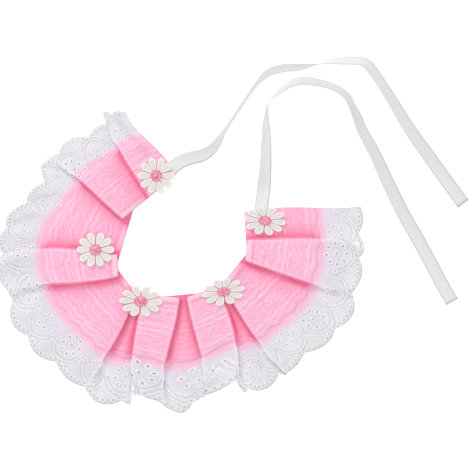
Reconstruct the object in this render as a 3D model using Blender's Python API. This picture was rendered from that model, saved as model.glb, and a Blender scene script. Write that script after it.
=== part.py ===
"""Lace pet bib, laid flat on a surface with its neck opening at the top.

Two lace trims, a deep white eyelet one and a narrower pink one on top of it, are laid together in
twelve pleats round a neck opening. Five daisies are sewn over the neck edge and a satin ribbon is
sewn in at each neck corner.

Both trims follow one surface that runs midway between them. A row of that surface goes round the
bib at one depth from the neck edge, down into each pleat and out again, and the lace is a wall on
either side of it. The surface is worked out in millimetres from the middle of the neck, x to the
right and y away from the viewer, with angles counterclockwise from +x.
"""

import math

import bmesh
import bpy
import numpy as np

MM = 0.001

# The middle of the neck, from the middle of the bib's own outline.
NECK_X = 1.24
NECK_Y = 22.52

# The lace walls. PLY is how far each wall's middle lies from the shared surface, BEND_R the radius
# of its bends and CREST_IN how far inside the visible crest the bend's centre lies.
WALL = 1.0
GAP = 0.3
PLY = (WALL + GAP) / 2
BEND_R = WALL + GAP
TABLE_Z = PLY + WALL / 2
CREST_IN = BEND_R + PLY + WALL / 2

# The two bends of an opened pleat stay this many diameters apart, and a steep one shares the step
# between its crest's and its root's radius over all its stations.
BEND_ROOM = 1.03
STEEP_FROM = math.radians(50)
STEEP_TO = math.radians(100)

# The two trims.
SCALLOP_DEPTH = 5.0
SCALLOP_ROUND = 0.75
PINK_SHARE = 0.645
PINK_WAVES = 1.6
PINK_WAVE_DEPTH = 0.9
NECK_HEM_RAISE = 0.4
EYELET_ROWS = (0.012, 0.2, 0.35, 0.5, 0.645, 0.71, 0.78, 0.88, 1.0)
PINK_ROWS = (0.0, 0.06, 0.068, 0.2, 0.35, 0.5, PINK_SHARE)
HEM_REACH = 0.1

# The depths over which the crests move out as the pink trim ends.
BARE_FROM = 0.68
BARE_TO = 0.78

# How the panels run from one pleat to the next: steps in a bend, how far a panel stays level at a
# free end and past a crest or a root, the least run that is left to climb in, and the depths where
# the hem's ripple and the crests' extra height begin.
ARC_STEPS = 3
FREE_END_FLAT = 3.5
PAST_CREST = 1.0
PAST_ROOT = 0.3
RAMP = 8.0
WAVE_FROM = 0.55
LIFT_FROM = 0.6

# The pleats, from the left end of the bib round to the right end. A row gives which of the two
# panels lies on top, the radius of the visible crest at the neck and at the hem, the radius of the
# hidden root at the hem, the crest's angle at the neck, at one and two thirds of the depth and at
# the hem, how far the cloth runs back under the top panel at the neck and at the hem (below zero
# where the pleat has opened), how much higher the crest lies at the hem, and how many scallops of
# the hem lie before the crest and before the root.
PLEATS = [
    dict(name="a_b", over="first", neck=34.8, hem=98.4, root=92.0, deg=(138.0, 132.6, 129.4, 125.4),
         tuck=(8.0, 1.5), lift=0.0, scallop=1.35, under=2.1),
    dict(name="b_c", over="first", neck=45.3, hem=106.2, root=106.2, deg=(170.4, 159.8, 154.6, 151.6),
         tuck=(9.0, -8.0), lift=-3.5, scallop=4.2, under=4.45),
    dict(name="c_d", over="second", neck=49.6, hem=132.3, root=126.5, deg=(197.8, 188.7, 186.0, 187.5),
         tuck=(4.4, 0.5), lift=0.0, scallop=9.0, under=8.0),
    dict(name="d_e", over="first", neck=58.1, hem=130.0, root=133.0, deg=(216.9, 208.3, 202.3, 199.2),
         tuck=(4.0, -9.0), lift=-4.0, scallop=9.8, under=10.05),
    dict(name="e_u", over="first", neck=55.5, hem=132.5, root=132.5, deg=(234.8, 238.9, 239.3, 239.0),
         tuck=(4.0, -10.0), lift=-4.2, scallop=13.06, under=13.45),
    dict(name="u_f", over="second", neck=54.8, hem=117.5, root=128.5, deg=(235.9, 242.5, 246.7, 252.6),
         tuck=(9.0, -2.5), lift=1.5, scallop=15.85, under=14.15),
    dict(name="f_v", over="first", neck=48.2, hem=122.9, root=124.5, deg=(269.4, 265.9, 263.4, 264.2),
         tuck=(9.5, -7.0), lift=-3.5, scallop=16.4, under=16.6),
    dict(name="v_g", over="second", neck=48.3, hem=114.9, root=117.0, deg=(271.4, 275.0, 277.2, 277.4),
         tuck=(7.0, -1.5), lift=-1.0, scallop=18.3, under=17.2),
    dict(name="g_w", over="first", neck=46.7, hem=109.9, root=122.7, deg=(302.1, 300.5, 296.5, 290.3),
         tuck=(7.0, -4.0), lift=1.5, scallop=18.75, under=19.9),
    dict(name="w_h", over="second", neck=47.1, hem=122.5, root=123.5, deg=(304.4, 303.0, 303.0, 305.0),
         tuck=(8.0, -1.0), lift=-1.0, scallop=24.25, under=21.1),
    dict(name="h_i", over="second", neck=50.6, hem=128.5, root=129.8, deg=(332.0, 334.9, 336.6, 341.0),
         tuck=(4.3, -9.0), lift=-4.0, scallop=27.15, under=26.85),
    dict(name="i_j", over="first", neck=46.6, hem=126.6, root=126.6, deg=(354.7, 357.2, 358.0, 355.6),
         tuck=(4.3, -3.5), lift=-1.8, scallop=28.35, under=28.8),
]

# The two free ends of the lace, given like a crest.
FIRST_END = dict(neck=40.8, hem=91.2, deg=(97.4, 105.5, 112.8, 115.8), scallop=0.35)
LAST_END = dict(neck=45.9, hem=124.7, deg=(376.9, 373.5, 369.8, 368.0), scallop=29.7)

# The panels between them: steps across, how far the hem bows out at one and two thirds of the way,
# how far a panel held up at both sides sags at the hem, and how high its hem ripples.
PANELS = [
    dict(name="a", steps=6, bow=(0.5, 2.5), sag=0.0, ripple=0.0),
    dict(name="b", steps=10, bow=(-1.7, -0.6), sag=0.0, ripple=1.0),
    dict(name="c", steps=16, bow=(-4.0, 4.7), sag=0.0, ripple=1.4),
    dict(name="d", steps=5, bow=(0.8, 0.8), sag=1.5, ripple=0.0),
    dict(name="e", steps=16, bow=(1.8, -2.0), sag=0.0, ripple=1.2),
    dict(name="u", steps=6, bow=(0.5, 0.5), sag=0.0, ripple=0.8),
    dict(name="f", steps=5, bow=(2.0, -1.0), sag=1.0, ripple=0.0),
    dict(name="v", steps=7, bow=(4.0, 2.8), sag=0.0, ripple=0.8),
    dict(name="g", steps=5, bow=(0.0, 0.0), sag=1.0, ripple=0.0),
    dict(name="w", steps=7, bow=(0.8, 0.3), sag=0.0, ripple=1.0),
    dict(name="h", steps=14, bow=(-1.7, 1.6), sag=0.0, ripple=1.2),
    dict(name="i", steps=5, bow=(0.0, 0.5), sag=1.5, ripple=0.0),
    dict(name="j", steps=6, bow=(0.0, 0.0), sag=0.0, ripple=0.8),
]

# The daisies: middle, size across and along, turn of the longer side, height of the flat back at
# the middle, and how that back climbs along x and y.
DAISIES = [
    dict(name="daisy_1", x=-19.0, y=39.7, across=26.5, along=26.5, turn=0, z=8.3, slope=(-0.10, -0.07)),
    dict(name="daisy_2", x=-62.6, y=-13.5, across=27.5, along=25.5, turn=0, z=8.4, slope=(0.0, -0.12)),
    dict(name="daisy_3", x=-30.2, y=-50.4, across=31.5, along=23.0, turn=-2, z=8.2, slope=(0.0, 0.0)),
    dict(name="daisy_4", x=29.2, y=-43.7, across=31.5, along=20.0, turn=10, z=8.2, slope=(0.0, 0.0)),
    dict(name="daisy_5", x=59.0, y=7.4, across=31.0, along=21.5, turn=-5, z=4.4, slope=(0.0, 0.0)),
]
PETALS = 10
PETAL_STEPS = 4
PETAL_NOTCH = 0.66

# The ribbons: points of the middle line, then how far the ribbon is rolled there (0 lies flat, 90
# stands on edge), and its height where it leaves the lace.
RIBBON_WIDTH = 9.6
RIBBON_WALL = 1.0
RIBBON_STEPS = 3
RIBBON_CLEAR = 0.15
OUTER_RIBBON = [
    (-9.6, 43.5, 0, 3.5), (-5.6, 46.9, 0, 3.5), (-0.7, 50.4, 8, 2.6), (6.5, 52.9, 14, 1.2),
    (13.7, 54.7, 22, 0), (21.6, 59.8, 45, 0), (28.1, 69.1, 70, 0), (33.8, 78.0, 80, 0),
    (43.2, 91.7, 80, 0), (52.0, 104.4, 76, 0), (61.4, 113.8, 60, 0), (72.4, 117.1, 58, 0),
    (82.1, 117.6, 62, 0), (92.9, 119.0, 84, 0), (105.5, 121.5, 112, 0), (116.6, 122.3, 125, 0),
    (126.2, 122.4, 130, 0), (132.1, 120.6, 137, 0), (136.4, 115.9, 142, 0), (145.4, 102.6, 142, 0),
    (153.7, 89.1, 148, 0), (164.7, 71.4, 160, 0), (175.7, 56.2, 170, 0), (188.6, 38.2, 178, 0),
    (202.1, 19.6, 180, 0),
]
INNER_RIBBON = [
    (56.2, 12.0, 0, 3.6), (56.4, 17.3, 0, 3.4), (58.0, 29.5, 6, 1.2), (59.2, 44.4, 26, 0),
    (59.8, 64.2, 42, 0), (59.8, 78.0, 62, 0), (61.1, 90.6, 86, 0), (63.7, 95.0, 97, 0),
    (68.4, 99.7, 112, 0), (75.2, 104.4, 118, 0), (82.1, 107.3, 126, 0), (90.0, 107.7, 128, 0),
    (99.9, 106.1, 124, 0), (111.0, 102.2, 122, 0), (117.7, 97.2, 125, 0), (121.3, 90.7, 124, 0),
    (125.1, 82.4, 136, 0), (129.5, 71.4, 144, 0), (137.2, 57.6, 152, 0), (147.6, 35.3, 164, 0),
    (159.1, 12.2, 172, 0), (172.1, -10.8, 178, 0), (185.0, -35.3, 180, 0), (194.0, -51.1, 180, 0),
]

# Finishes: colour, roughness.
EYELET_WHITE = ((0.86, 0.86, 0.88), 0.9)
LACE_PINK = ((0.93, 0.42, 0.60), 0.85)
DAISY_CREAM = ((0.85, 0.82, 0.78), 0.8)
SATIN_WHITE = ((0.84, 0.84, 0.85), 0.4)


def clear_scene():
    for thing in list(bpy.data.objects):
        bpy.data.objects.remove(thing, do_unlink=True)


def finish(name, colour, roughness):
    material = bpy.data.materials.new(name)
    material.use_nodes = True
    shader = material.node_tree.nodes["Principled BSDF"]
    shader.inputs["Base Color"].default_value = (*colour, 1.0)
    shader.inputs["Roughness"].default_value = roughness
    shader.inputs["Metallic"].default_value = 0.0
    return material


def solid(name, points, faces, material):
    """An object from points in millimetres round the middle of the neck, its faces pointing out."""
    mesh = bpy.data.meshes.new(name)
    mesh.from_pydata([tuple(np.asarray(p) * MM) for p in points], [], faces)
    shape = bmesh.new()
    shape.from_mesh(mesh)
    bmesh.ops.recalc_face_normals(shape, faces=shape.faces)
    shape.to_mesh(mesh)
    shape.free()
    mesh.materials.append(material)
    item = bpy.data.objects.new(name, mesh)
    item.location = (NECK_X * MM, NECK_Y * MM, 0.0)
    bpy.context.scene.collection.objects.link(item)
    return item


def smooth(t):
    t = min(1.0, max(0.0, t))
    return t * t * (3 - 2 * t)


def through_thirds(values, v):
    """The cubic that takes the four values at 0, 1/3, 2/3 and 1."""
    total = 0.0
    for i, value in enumerate(values):
        share = 1.0
        for j in range(4):
            if j != i:
                share *= (3 * v - j) / (i - j)
        total += share * value
    return total


def polar(radius, degrees):
    turn = math.radians(degrees)
    return np.array([radius * math.cos(turn), radius * math.sin(turn)])


def line_point(line, v):
    return polar(line["neck"] + (line["hem"] - line["neck"]) * v, through_thirds(line["deg"], v))


def across(start, end, f, v, bow=(0.0, 0.0)):
    """A point between two lines: on a straight chord at the neck, on an arc round it at the hem."""
    chord = start + (end - start) * f
    a0 = math.atan2(start[1], start[0])
    turn = (math.atan2(end[1], end[0]) - a0 + math.pi) % (2 * math.pi) - math.pi
    r0, r1 = np.linalg.norm(start), np.linalg.norm(end)
    out = through_thirds((0.0, *bow, 0.0), f) * v
    arc = polar(r0 + (r1 - r0) * f + out, math.degrees(a0 + turn * f))
    return chord * (1 - v) + arc * v


def tuck_at(pleat, v):
    return pleat["tuck"][0] + (pleat["tuck"][1] - pleat["tuck"][0]) * v * v


def crest_height(pleat, v):
    """The crest's height: two bends up, or less where the pleat has opened far enough for that."""
    lift = pleat["lift"] * max(0.0, (v - LIFT_FROM) / (1 - LIFT_FROM)) ** 2
    opened = max(0.0, -tuck_at(pleat, v))
    least = math.sqrt(max(0.0, (2 * BEND_ROOM * BEND_R) ** 2 - opened ** 2))
    return TABLE_Z + 2 * BEND_R + max(2 * BEND_R + lift, least)


def fold(pleat, inside, v):
    """The stations through one pleat at depth v, as (point, normal, scallop count, shows).

    inside is a point of the top panel's far side, which the hidden cloth runs back towards.
    """
    crest = line_point(pleat, v)
    near = across(inside, crest, 0.92, v)
    ahead = (crest - near) / np.linalg.norm(crest - near)
    radial = crest / np.linalg.norm(crest)
    crest_z = crest_height(pleat, v)
    bare = smooth((v - BARE_FROM) / (BARE_TO - BARE_FROM))
    crest_middle = crest - ahead * (CREST_IN - 2 * PLY * bare)
    run = -tuck_at(pleat, v)
    root_middle = crest_middle + ahead * run
    further = radial * (pleat["root"] - pleat["hem"]) * v ** 4
    drop = crest_z - TABLE_Z - 2 * BEND_R
    turn = math.atan2(drop, run) + math.asin(min(1.0, 2 * BEND_R / math.hypot(drop, run)))
    made = []
    for k in range(ARC_STEPS + 1):
        a = turn * k / ARC_STEPS
        at = crest_middle + ahead * BEND_R * math.sin(a)
        z = crest_z - BEND_R + BEND_R * math.cos(a)
        made.append((at, z, a))
    for k in range(ARC_STEPS + 1):
        a = turn * (ARC_STEPS - k) / ARC_STEPS
        at = root_middle - ahead * BEND_R * math.sin(a)
        z = TABLE_Z + BEND_R - BEND_R * math.cos(a)
        made.append((at, z, a))
    steep = 0.0
    if pleat["root"] > pleat["hem"]:
        steep = smooth((turn - STEEP_FROM) / (STEEP_TO - STEEP_FROM))
    stations = []
    for k, (at, z, a) in enumerate(made):
        passed = float(k > ARC_STEPS)
        if run > 0:
            passed = min(1.0, max(0.0, (at - crest_middle) @ ahead / run))
        count = pleat["scallop"] + (pleat["under"] - pleat["scallop"]) * passed
        place = at + further * (passed + (k / (len(made) - 1) - passed) * steep)
        normal = np.array([*(ahead * math.sin(a)), math.cos(a)])
        stations.append([np.array([*place, z]), normal, count, False])
    return stations if pleat["over"] == "first" else stations[::-1]


def margins(pleat, side, v):
    """How far a panel stays level next to a pleat: over the pleat's own cloth, or under and past it."""
    if pleat is None:
        return FREE_END_FLAT
    on_top = (pleat["over"] == "first") == (side == "end")
    tuck = max(0.0, tuck_at(pleat, v))
    return tuck + CREST_IN + (PAST_ROOT if on_top else PAST_CREST)


def panel_stations(panel, before, after, start, end, v):
    """The stations strictly inside a panel, between its first and last ones."""
    p, q = start[0][:2], end[0][:2]
    trial = [across(p, q, k / 12, v, panel["bow"]) for k in range(13)]
    width = sum(np.linalg.norm(b - a) for a, b in zip(trial, trial[1:]))
    flat_start, flat_end = margins(before, "start", v), margins(after, "end", v)
    squeeze = min(1.0, (width - RAMP) / (flat_start + flat_end))
    f0, f1 = flat_start * squeeze / width, 1 - flat_end * squeeze / width
    under_start = before is not None and before["over"] == "first"
    under_end = after is not None and after["over"] == "second"
    rippling = panel["ripple"] * smooth((v - WAVE_FROM) / (1 - WAVE_FROM))
    stations = []
    for k in range(panel["steps"] + 1):
        share = k / panel["steps"]
        f = f0 + (f1 - f0) * share
        count = start[2] + (end[2] - start[2]) * f
        z = start[0][2] + (end[0][2] - start[0][2]) * smooth(share)
        z -= panel["sag"] * v * math.sin(math.pi * share)
        z += rippling * math.sin(math.pi * share) * (1 - math.cos(2 * math.pi * count)) / 2
        covered = under_start and f * width < flat_start or under_end and (1 - f) * width < flat_end
        stations.append([np.array([*across(p, q, f, v, panel["bow"]), z]), None, count, not covered])
    return stations


def add_normals(stations):
    """Normals for the stations that have none: square to the row, and upright."""
    places = [s[0] for s in stations]
    for i, station in enumerate(stations):
        if station[1] is not None:
            continue
        sides = []
        for a, b in ((i - 1, i), (i, i + 1)):
            if 0 <= a and b < len(places):
                run = (places[b] - places[a])[:2]
                length = np.linalg.norm(run)
                rise = places[b][2] - places[a][2]
                sides.append(np.array([*(-run / length * rise), length]) / math.hypot(length, rise))
        total = sum(sides)
        normal = total / np.linalg.norm(total)
        station[1] = normal / max(0.85, float(normal @ sides[0]))
    return stations


def row(v):
    """One row round the bib at depth v, 0 at the neck edge and 1 at the hem's cusps."""
    crests = [line_point(line, v) for line in (FIRST_END, *PLEATS, LAST_END)]
    folds = []
    for i, pleat in enumerate(PLEATS):
        inside = crests[i] if pleat["over"] == "first" else crests[i + 2]
        folds.append(fold(pleat, inside, v))
    ends = [[np.array([*crests[k], TABLE_Z]), None, line["scallop"], True]
            for k, line in ((0, FIRST_END), (-1, LAST_END))]
    stations = [ends[0]]
    for i, panel in enumerate(PANELS):
        before = PLEATS[i - 1] if i > 0 else None
        after = PLEATS[i] if i < len(PLEATS) else None
        last = folds[i][0] if after else ends[1]
        stations += panel_stations(panel, before, after, stations[-1], last, v)
        stations += folds[i] if after else [ends[1]]
    return add_normals(stations)


def stretched(stations, inner, reach):
    """A row moved out, away from an inner row, by reach(scallop count). A pleat's stations keep to
    one direction."""
    ways = [(station[0] - other[0]) * (1, 1, 0) for station, other in zip(stations, inner)]
    ways = [way / np.linalg.norm(way) for way in ways]
    folded = 2 * (ARC_STEPS + 1)
    column = 1
    for panel in PANELS[:-1]:
        column += panel["steps"] + 1
        shared = sum(ways[column : column + folded])
        ways[column : column + folded] = [shared / np.linalg.norm(shared)] * folded
        column += folded
    for _ in range(4):
        ways = [a + 2 * b + c for a, b, c in zip(ways[:1] + ways, ways, ways[1:] + ways[-1:])]
        ways = [way / np.linalg.norm(way) for way in ways]
    return [[place + way * reach(count), normal, count, shows]
            for (place, normal, count, shows), way in zip(stations, ways)]


def lace(name, rows, low, high, material, raised=()):
    """A closed wall between two distances from the shared surface. Rows whose numbers are in raised
    stand prouder where they show."""
    points = []
    columns = len(rows[0])
    for number, stations in enumerate(rows):
        for place, normal, _, shows in stations:
            proud = NECK_HEM_RAISE if number in raised and shows else 0.0
            points.append(place + normal * low)
            points.append(place + normal * (high + proud))

    def at(r, c, side):
        return 2 * (r * columns + c) + side

    faces = []
    for r in range(len(rows) - 1):
        for c in range(columns - 1):
            for side, step in ((0, -1), (1, 1)):
                a, b = at(r, c, side), at(r, c + 1, side)
                d, e = at(r + 1, c, side), at(r + 1, c + 1, side)
                faces += [(a, b, e)[::step], (a, e, d)[::step]]
    for r, step in ((0, 1), (len(rows) - 1, -1)):
        for c in range(columns - 1):
            ring = [at(r, c, 0), at(r, c + 1, 0), at(r, c + 1, 1), at(r, c, 1)]
            faces.append(ring[::step])
    for c, step in ((0, -1), (columns - 1, 1)):
        for r in range(len(rows) - 1):
            ring = [at(r, c, 0), at(r + 1, c, 0), at(r + 1, c, 1), at(r, c, 1)]
            faces.append(ring[::step])
    return solid(name, points, faces, material)


def eyelet_flounce():
    """The white trim, under the shared surface, with a scalloped hem."""
    rows = [row(v) for v in EYELET_ROWS]
    inner = row(EYELET_ROWS[-1] - HEM_REACH)
    rows[-1] = stretched(
        rows[-1], inner, lambda n: SCALLOP_DEPTH * abs(math.sin(math.pi * n)) ** SCALLOP_ROUND
    )
    material = finish("eyelet", *EYELET_WHITE)
    return lace("eyelet_flounce", rows, -PLY - WALL / 2, -PLY + WALL / 2, material)


def pink_lace():
    """The pink trim, on the shared surface, with a turned neck edge and a wavy lower edge."""
    rows = [row(v) for v in PINK_ROWS]
    inner = row(PINK_ROWS[-1] - HEM_REACH)
    rows[-1] = stretched(
        rows[-1], inner, lambda n: PINK_WAVE_DEPTH * math.sin(2 * math.pi * PINK_WAVES * n)
    )
    material = finish("pink", *LACE_PINK)
    return lace("pink_lace", rows, PLY - WALL / 2, PLY + WALL / 2, material, raised=(0, 1))


def daisy(spec, material):
    """A flat-backed flower: ten ridged petals round a domed button."""
    steps = PETALS * PETAL_STEPS
    turn = math.radians(spec["turn"])
    # Rings from the button outwards: share of the radius in a notch and at a petal's tip, height in
    # a notch and along a petal's ridge.
    rings = [(0.22, 0.22, 1.9, 1.9), (0.30, 0.30, 1.0, 1.2), (0.52, 0.62, 0.8, 1.7),
             (PETAL_NOTCH, 1.0, 0.6, 1.0)]

    def placed(share, angle, height):
        x = share * math.cos(angle) * spec["across"] / 2
        y = share * math.sin(angle) * spec["along"] / 2
        dx = x * math.cos(turn) - y * math.sin(turn)
        dy = x * math.sin(turn) + y * math.cos(turn)
        back = spec["z"] + spec["slope"][0] * dx + spec["slope"][1] * dy
        return (spec["x"] + dx, spec["y"] + dy, back + height)

    points = [placed(0, 0, 2.3), placed(0, 0, 0)]
    for notch, tip, low, high in rings:
        for k in range(steps):
            angle = 2 * math.pi * k / steps
            petal = (0.5 + 0.5 * math.cos(PETALS * angle)) ** 0.5
            points.append(placed(notch + (tip - notch) * petal, angle, low + (high - low) * petal))
    for k in range(steps):
        angle = 2 * math.pi * k / steps
        petal = (0.5 + 0.5 * math.cos(PETALS * angle)) ** 0.5
        points.append(placed(PETAL_NOTCH + (1 - PETAL_NOTCH) * petal, angle, 0))
    faces = []
    for k in range(steps):
        after = (k + 1) % steps
        faces.append((0, 2 + k, 2 + after))
        for ring in range(len(rings)):
            a, b = 2 + ring * steps, 2 + (ring + 1) * steps
            faces.append((a + k, b + k, b + after, a + after))
        back = 2 + len(rings) * steps
        faces.append((1, back + after, back + k))
    return solid(spec["name"], points, faces, material)


def smooth_route(route):
    """Points along a smooth curve through the route's own, RIBBON_STEPS for each stretch."""
    rows = np.array(route, float)
    held = np.vstack([2 * rows[0] - rows[1], rows, 2 * rows[-1] - rows[-2]])
    made = []
    for i in range(1, len(held) - 2):
        p0, p1, p2, p3 = held[i - 1 : i + 3]
        for k in range(RIBBON_STEPS):
            t = k / RIBBON_STEPS
            made.append(0.5 * (2 * p1 + (p2 - p0) * t + (2 * p0 - 5 * p1 + 4 * p2 - p3) * t * t
                               + (3 * p1 - p0 - 3 * p2 + p3) * t ** 3))
    made.append(rows[-1])
    return np.array(made)


def ribbon(name, route, material):
    """A flat strip that rolls between lying flat and standing on its edge, never under the table."""
    line = smooth_route(route)
    points = []
    for i, (x, y, roll, height) in enumerate(line):
        before, after = line[max(0, i - 1)], line[min(len(line) - 1, i + 1)]
        run = (after - before)[:2]
        side = np.array([-run[1], run[0]]) / np.linalg.norm(run)
        a = math.radians(roll)
        reach = RIBBON_WIDTH / 2 * abs(math.sin(a)) + RIBBON_WALL / 2 * abs(math.cos(a))
        middle = np.array([x, y, max(height, reach + RIBBON_CLEAR)])
        width = np.array([*(side * math.cos(a)), math.sin(a)]) * RIBBON_WIDTH / 2
        thick = np.array([*(-side * math.sin(a)), math.cos(a)]) * RIBBON_WALL / 2
        points += [middle - width - thick, middle + width - thick, middle + width + thick,
                   middle - width + thick]
    faces = [(3, 2, 1, 0)]
    for i in range(len(line) - 1):
        a, b = 4 * i, 4 * (i + 1)
        for k in range(4):
            faces.append((a + k, a + (k + 1) % 4, b + (k + 1) % 4, b + k))
    last = 4 * (len(line) - 1)
    faces.append((last, last + 1, last + 2, last + 3))
    return solid(name, points, faces, material)


def build():
    clear_scene()
    eyelet_flounce()
    pink_lace()
    cream = finish("daisy", *DAISY_CREAM)
    for spec in DAISIES:
        daisy(spec, cream)
    satin = finish("satin", *SATIN_WHITE)
    ribbon("tie_ribbon_outer", OUTER_RIBBON, satin)
    ribbon("tie_ribbon_inner", INNER_RIBBON, satin)


build()
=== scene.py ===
"""Looks of the lace pet bib: thin lace shells with real eyelets, embroidered daisies, satin ribbons.

The lace follows the same surface as the part's source, worked out in millimetres from the middle
of the neck, x to the right and y away from the viewer, with angles counterclockwise from +x.
"""

import math

import bpy
import numpy as np
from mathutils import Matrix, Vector, noise
from mathutils.geometry import delaunay_2d_cdt


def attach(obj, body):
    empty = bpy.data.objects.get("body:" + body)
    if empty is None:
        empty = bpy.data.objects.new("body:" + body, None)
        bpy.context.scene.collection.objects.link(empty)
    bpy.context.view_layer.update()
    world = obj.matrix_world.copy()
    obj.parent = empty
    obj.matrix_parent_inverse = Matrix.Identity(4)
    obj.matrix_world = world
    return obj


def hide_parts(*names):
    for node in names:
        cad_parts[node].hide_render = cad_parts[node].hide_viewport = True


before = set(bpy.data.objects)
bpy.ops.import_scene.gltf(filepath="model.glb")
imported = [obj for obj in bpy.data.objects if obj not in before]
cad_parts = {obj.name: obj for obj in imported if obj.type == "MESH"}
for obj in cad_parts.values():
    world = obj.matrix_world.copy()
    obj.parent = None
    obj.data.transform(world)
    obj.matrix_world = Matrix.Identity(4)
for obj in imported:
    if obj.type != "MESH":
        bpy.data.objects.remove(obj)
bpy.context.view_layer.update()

MM = 0.001
NECK_X = 1.24
NECK_Y = 22.52

# The camera looks straight down. The photograph is 338.4 mm wide where the bib lies.
VIEW_WIDTH = 0.3384
VIEW_X = 0.0387
VIEW_Y = 0.0196
CAMERA_UP = 1.6
BIB_Z = 0.003
FLOOR_Z = -0.0002

# The surface, as in the part's source.
PLY = 0.65
BEND_R = 1.3
TABLE_Z = 1.15
CREST_IN = 2.45
BEND_ROOM = 1.03
STEEP_FROM = math.radians(50)
STEEP_TO = math.radians(100)
BARE_FROM = 0.68
BARE_TO = 0.78
SCALLOP_DEPTH = 5.0
SCALLOP_ROUND = 0.75
PINK_SHARE = 0.645
PINK_WAVES = 1.6
PINK_WAVE_DEPTH = 0.9
NECK_HEM = 0.064
NECK_HEM_RAISE = 0.4
ARC_STEPS = 7
FINER = 4
FREE_END_FLAT = 3.5
PAST_CREST = 1.0
PAST_ROOT = 0.3
RAMP = 8.0
WAVE_FROM = 0.55
LIFT_FROM = 0.6

# One row for each pleat, from the left end round to the right: whether the panel before it lies on top,
# the radius of its crest at the neck and at the hem, the radius of its root at the hem, the crest's angle
# at 0, 1/3, 2/3 and all of the depth, the tuck at the neck and at the hem, the crest's lift at the hem,
# and the scallop counts at the crest and at the root.
PLEAT_KEYS = ("first_over", "neck", "hem", "root", "deg", "tuck", "lift", "scallop", "under")
PLEATS = [dict(zip(PLEAT_KEYS, values)) for values in (
    (True, 34.8, 98.4, 92.0, (138.0, 132.6, 129.4, 125.4), (8.0, 1.5), 0.0, 1.35, 2.1),
    (True, 45.3, 106.2, 106.2, (170.4, 159.8, 154.6, 151.6), (9.0, -8.0), -3.5, 4.2, 4.45),
    (False, 49.6, 132.3, 126.5, (197.8, 188.7, 186.0, 187.5), (4.4, 0.5), 0.0, 9.0, 8.0),
    (True, 58.1, 130.0, 133.0, (216.9, 208.3, 202.3, 199.2), (4.0, -9.0), -4.0, 9.8, 10.05),
    (True, 55.5, 132.5, 132.5, (234.8, 238.9, 239.3, 239.0), (4.0, -10.0), -4.2, 13.06, 13.45),
    (False, 54.8, 117.5, 128.5, (235.9, 242.5, 246.7, 252.6), (9.0, -2.5), 1.5, 15.85, 14.15),
    (True, 48.2, 122.9, 124.5, (269.4, 265.9, 263.4, 264.2), (9.5, -7.0), -3.5, 16.4, 16.6),
    (False, 48.3, 114.9, 117.0, (271.4, 275.0, 277.2, 277.4), (7.0, -1.5), -1.0, 18.3, 17.2),
    (True, 46.7, 109.9, 122.7, (302.1, 300.5, 296.5, 290.3), (7.0, -4.0), 1.5, 18.75, 19.9),
    (False, 47.1, 122.5, 123.5, (304.4, 303.0, 303.0, 305.0), (8.0, -1.0), -1.0, 24.25, 21.1),
    (False, 50.6, 128.5, 129.8, (332.0, 334.9, 336.6, 341.0), (4.3, -9.0), -4.0, 27.15, 26.85),
    (True, 46.6, 126.6, 126.6, (354.7, 357.2, 358.0, 355.6), (4.3, -3.5), -1.8, 28.35, 28.8),
)]
FIRST_END = dict(neck=40.8, hem=91.2, deg=(97.4, 105.5, 112.8, 115.8), scallop=0.35)
LAST_END = dict(neck=45.9, hem=124.7, deg=(376.9, 373.5, 369.8, 368.0), scallop=29.7)
# One row for each panel: its steps across, how far its hem bows out at 1/3 and 2/3 of the way, its sag
# and the height of its ripple.
PANEL_KEYS = ("steps", "bow", "sag", "ripple")
PANELS = [dict(zip(PANEL_KEYS, values)) for values in (
    (6, (0.5, 2.5), 0.0, 0.0),
    (10, (-1.7, -0.6), 0.0, 1.0),
    (16, (-4.0, 4.7), 0.0, 1.4),
    (5, (0.8, 0.8), 1.5, 0.0),
    (16, (1.8, -2.0), 0.0, 1.2),
    (6, (0.5, 0.5), 0.0, 0.8),
    (5, (2.0, -1.0), 1.0, 0.0),
    (7, (4.0, 2.8), 0.0, 0.8),
    (5, (0.0, 0.0), 1.0, 0.0),
    (7, (0.8, 0.3), 0.0, 1.0),
    (14, (-1.7, 1.6), 0.0, 1.2),
    (5, (0.0, 0.5), 1.5, 0.0),
    (6, (0.0, 0.0), 0.0, 0.8),
)]
DAISY_KEYS = ("name", "x", "y", "across", "along", "turn", "z", "slope")
DAISIES = [dict(zip(DAISY_KEYS, values)) for values in (
    ("daisy_1", -19.0, 39.7, 26.5, 26.5, 0, 8.3, (-0.10, -0.07)),
    ("daisy_2", -62.6, -13.5, 27.5, 25.5, 0, 8.4, (0.0, -0.12)),
    ("daisy_3", -30.2, -50.4, 31.5, 23.0, -2, 8.2, (0.0, 0.0)),
    ("daisy_4", 29.2, -43.7, 31.5, 20.0, 10, 8.2, (0.0, 0.0)),
    ("daisy_5", 59.0, 7.4, 31.0, 21.5, -5, 4.4, (0.0, 0.0)),
)]

# The ribbons: points of the middle line, the roll there and, where it leaves the lace, the height.
RIBBON_WIDTH = 9.6
RIBBON_WALL = 0.32
RIBBON_CLEAR = 0.15
CAD_RIBBON_WALL = 1.0
OUTER_RIBBON = [
    (-9.6, 43.5, 0, 3.5), (-5.6, 46.9, 0, 3.5), (-0.7, 50.4, 8, 2.6), (6.5, 52.9, 14, 1.2),
    (13.7, 54.7, 22), (21.6, 59.8, 45), (28.1, 69.1, 70), (33.8, 78.0, 80),
    (43.2, 91.7, 80), (52.0, 104.4, 76), (61.4, 113.8, 60), (72.4, 117.1, 58),
    (82.1, 117.6, 62), (92.9, 119.0, 84), (105.5, 121.5, 112), (116.6, 122.3, 125),
    (126.2, 122.4, 130), (132.1, 120.6, 137), (136.4, 115.9, 142), (145.4, 102.6, 142),
    (153.7, 89.1, 148), (164.7, 71.4, 160), (175.7, 56.2, 170), (188.6, 38.2, 178),
    (202.1, 19.6, 180),
]
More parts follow.
